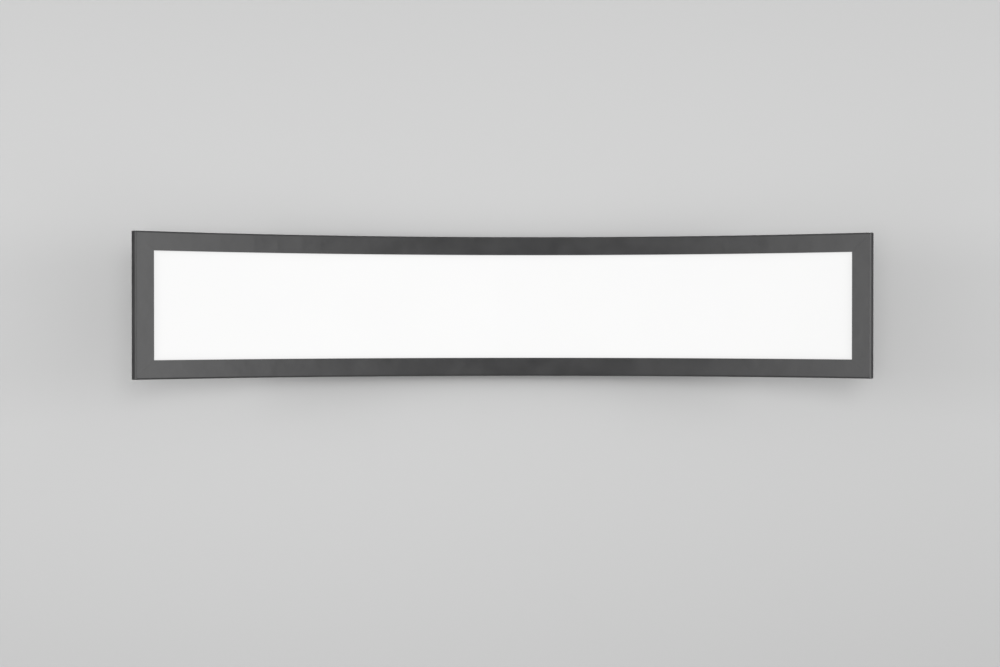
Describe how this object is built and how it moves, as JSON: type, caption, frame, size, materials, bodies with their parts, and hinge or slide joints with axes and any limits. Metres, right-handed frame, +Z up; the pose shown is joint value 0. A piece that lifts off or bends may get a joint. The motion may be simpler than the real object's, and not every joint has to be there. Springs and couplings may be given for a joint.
{
  "type": "ceiling light",
  "caption": "Bowed rectangular LED panel light with a slim dark frame and an opal diffuser, hung close to the ceiling by a canopy that holds its driver.",
  "frame": {"origin": "centre of the mounting bracket's top face, which lies on the ceiling", "axes": "+X along the panel's length, +Y across its width, +Z up to the ceiling; the lit face looks down"},
  "size_m": [0.808, 0.16, 0.1481],
  "materials": {
    "black_coated_aluminium": "matt black powder coat",
    "black_coated_steel": "matt black powder coat",
    "opal_acrylic": "satin opal, lit from behind",
    "clear_acrylic": "polished clear",
    "white_film": "satin white",
    "grey_foam": "closed-cell foam",
    "white_solder_mask": "satin",
    "zinc_steel": "zinc plated",
    "nickel_steel": "nickel plated, knurled",
    "die_cast_zinc": "as cast",
    "black_rubber": "matt",
    "white_painted_steel": "satin white paint",
    "green_board": "solder mask",
    "transformer_tape": "polyester tape",
    "capacitor_sleeve": "shrink sleeve",
    "white_polyamide": "moulded",
    "grey_polyamide": "moulded",
    "natural_polyamide": "moulded",
    "tinned_brass": "tinned",
    "tinned_copper": "tinned",
    "brown_pvc": "wire insulation",
    "blue_pvc": "wire insulation",
    "green_pvc": "wire insulation",
    "red_pvc": "wire insulation",
    "black_pvc": "wire insulation",
    "white_pvc": "wire insulation"
  },
  "bodies": {
    "bracket": {"mounting_bracket": "zinc_steel"},
    "luminaire": {"front_long_rail": "black_coated_aluminium", "rear_long_rail": "black_coated_aluminium", "left_end_rail": "black_coated_aluminium", "right_end_rail": "black_coated_aluminium", "left_front_corner_key": "die_cast_zinc", "left_rear_corner_key": "die_cast_zinc", "right_front_corner_key": "die_cast_zinc", "right_rear_corner_key": "die_cast_zinc", "diffuser": "opal_acrylic", "light_guide": "clear_acrylic", "reflector_sheet": "white_film", "foam_pad": "grey_foam", "front_led_strip": "white_solder_mask", "rear_led_strip": "white_solder_mask", "back_plate": "black_coated_steel", "front_left_plate_screw": "zinc_steel", "front_middle_plate_screw": "zinc_steel", "front_right_plate_screw": "zinc_steel", "rear_left_plate_screw": "zinc_steel", "rear_middle_plate_screw": "zinc_steel", "rear_right_plate_screw": "zinc_steel", "canopy": "black_coated_steel", "left_front_canopy_screw": "zinc_steel", "left_rear_canopy_screw": "zinc_steel", "right_front_canopy_screw": "zinc_steel", "right_rear_canopy_screw": "zinc_steel", "cable_bushing": "black_rubber", "driver_tray": "white_painted_steel", "driver_cover": "white_painted_steel", "driver_board": "green_board", "driver_transformer": "transformer_tape", "driver_capacitor": "capacitor_sleeve", "left_driver_screw": "zinc_steel", "right_driver_screw": "zinc_steel", "terminal_block": "white_polyamide", "live_contact": "tinned_brass", "neutral_contact": "tinned_brass", "earth_contact": "tinned_brass", "live_wire": "brown_pvc", "neutral_wire": "blue_pvc", "earth_wire": "green_pvc", "driver_minus_wire": "black_pvc", "driver_plus_wire": "red_pvc", "panel_minus_wire": "black_pvc", "panel_plus_wire": "red_pvc", "strip_jumper_wire": "white_pvc", "connector_plug": "natural_polyamide", "connector_socket": "natural_polyamide", "ring_terminal": "tinned_copper", "earth_nut": "zinc_steel"},
    "left_washer": {"left_washer": "zinc_steel"},
    "right_washer": {"right_washer": "zinc_steel"},
    "left_thumb_screw": {"left_thumb_screw": "nickel_steel"},
    "right_thumb_screw": {"right_thumb_screw": "nickel_steel"},
    "live_button": {"live_button": "grey_polyamide"},
    "neutral_button": {"neutral_button": "grey_polyamide"},
    "earth_button": {"earth_button": "grey_polyamide"}
  },
  "joints": [
    {"name": "lower_luminaire", "type": "slide", "parent": "bracket", "child": "luminaire", "axis": [0, 0, -1], "range_m": [0, 0.06]},
    {"name": "left_washer_slide", "type": "slide", "parent": "bracket", "child": "left_washer", "axis": [-1, 0, 0], "range_m": [0, 0.0028]},
    {"name": "left_thumb_turn", "type": "hinge", "parent": "left_washer", "child": "left_thumb_screw", "pos_m": [-0.114, 0, -0.012], "axis": [-1, 0, 0], "range_deg": [0, 1440]},
    {"name": "right_washer_slide", "type": "slide", "parent": "bracket", "child": "right_washer", "axis": [1, 0, 0], "range_m": [0, 0.0028]},
    {"name": "right_thumb_turn", "type": "hinge", "parent": "right_washer", "child": "right_thumb_screw", "pos_m": [0.114, 0, -0.012], "axis": [1, 0, 0], "range_deg": [0, 1440]},
    {"name": "live_button_press", "type": "slide", "parent": "luminaire", "child": "live_button", "axis": [-0.0963, 0, -0.9953], "range_m": [0, 0.002], "stiffness_N_per_m": 1500},
    {"name": "neutral_button_press", "type": "slide", "parent": "luminaire", "child": "neutral_button", "axis": [-0.0963, 0, -0.9953], "range_m": [0, 0.002], "stiffness_N_per_m": 1500},
    {"name": "earth_button_press", "type": "slide", "parent": "luminaire", "child": "earth_button", "axis": [-0.0963, 0, -0.9953], "range_m": [0, 0.002], "stiffness_N_per_m": 1500}
  ],
  "couplings": [
    {"joint": "left_washer_slide", "follows": "left_thumb_turn", "m_per_rad": 0.00011141},
    {"joint": "right_washer_slide", "follows": "right_thumb_turn", "m_per_rad": 0.00011141}
  ]
}
